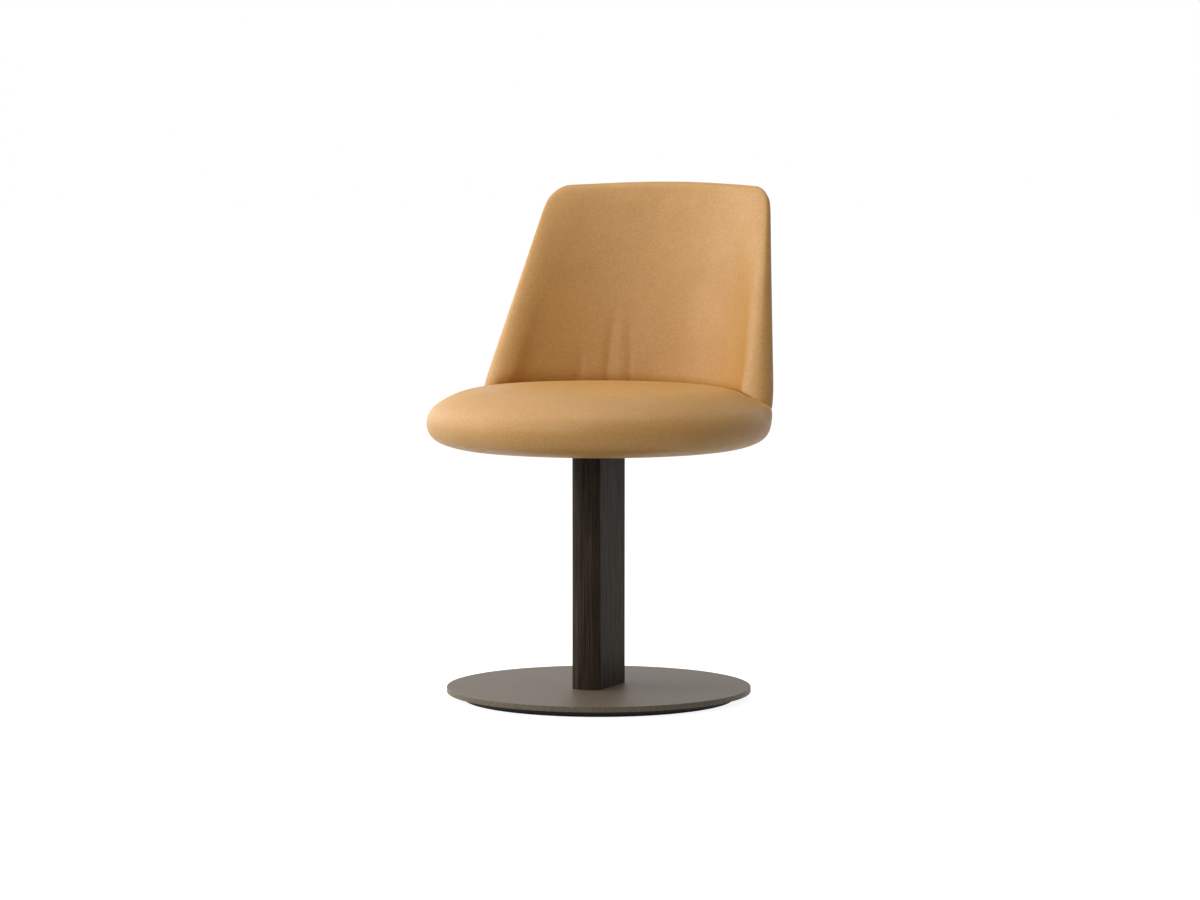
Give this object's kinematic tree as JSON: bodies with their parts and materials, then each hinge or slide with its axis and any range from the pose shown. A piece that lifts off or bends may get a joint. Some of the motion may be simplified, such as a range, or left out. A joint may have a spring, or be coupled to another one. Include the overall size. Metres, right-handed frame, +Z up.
{
  "type": "swivel chair",
  "caption": "Swivel chair with a round padded leather seat, a padded wrap-round back, an oblong wooden column and a flat steel disc base.",
  "frame": {"origin": "on the floor, at the centre of the disc base and on the swivel axis", "axes": "+Z up along the swivel axis; the sitter faces -Y and the back stands on the +Y side; +X to the right of someone who looks at the chair's front"},
  "size_m": [0.508, 0.5318, 0.7595],
  "materials": {
    "felt": "matte",
    "black_steel": "matte",
    "bronze_coat": "matte",
    "screw_steel": "satin",
    "bare_steel": "satin",
    "dark_oak": "matte",
    "bush_plastic": "matte",
    "bearing_steel": "polished",
    "cage_plastic": "satin",
    "shroud_plastic": "matte",
    "plywood": "satin",
    "foam": "matte",
    "dust_cloth": "matte",
    "tan_leather": "satin"
  },
  "bodies": {
    "stand": {"floor_felt": "felt", "ballast_disc": "black_steel", "base_plate": "bronze_coat", "ballast_screws": "screw_steel", "foot_screws": "screw_steel", "foot_flange": "bare_steel", "core_post": "bare_steel", "wood_column": "dark_oak", "swivel_housing": "bare_steel", "housing_screws": "screw_steel", "upper_bush": "bush_plastic", "lower_bush": "bush_plastic", "lower_race": "bearing_steel"},
    "bearing_cage": {"ball_cage": "cage_plastic", "bearing_balls": "bearing_steel"},
    "seat": {"upper_race": "bearing_steel", "spindle": "bare_steel", "spindle_washer": "screw_steel", "spindle_circlip": "screw_steel", "swivel_shroud": "shroud_plastic", "seat_spider": "black_steel", "seat_bolts": "screw_steel", "tee_nuts": "screw_steel", "seat_board": "plywood", "dust_cover": "dust_cloth", "seat_foam": "foam", "seat_cover": "tan_leather", "board_screws": "screw_steel", "core_screws": "screw_steel", "back_core": "plywood", "back_foam": "foam", "back_cover": "tan_leather", "back_bracket_left": "black_steel", "back_bracket_middle": "black_steel", "back_bracket_right": "black_steel"}
  },
  "joints": [
    {"name": "seat_swivel", "type": "hinge", "parent": "stand", "child": "seat", "pos_m": [0, 0, 0.3585], "axis": [0, 0, 1], "continuous": true},
    {"name": "cage_roll", "type": "hinge", "parent": "stand", "child": "bearing_cage", "pos_m": [0, 0, 0.3585], "axis": [0, 0, 1], "continuous": true}
  ],
  "couplings": [
    {"joint": "cage_roll", "follows": "seat_swivel", "ratio": 0.5}
  ]
}
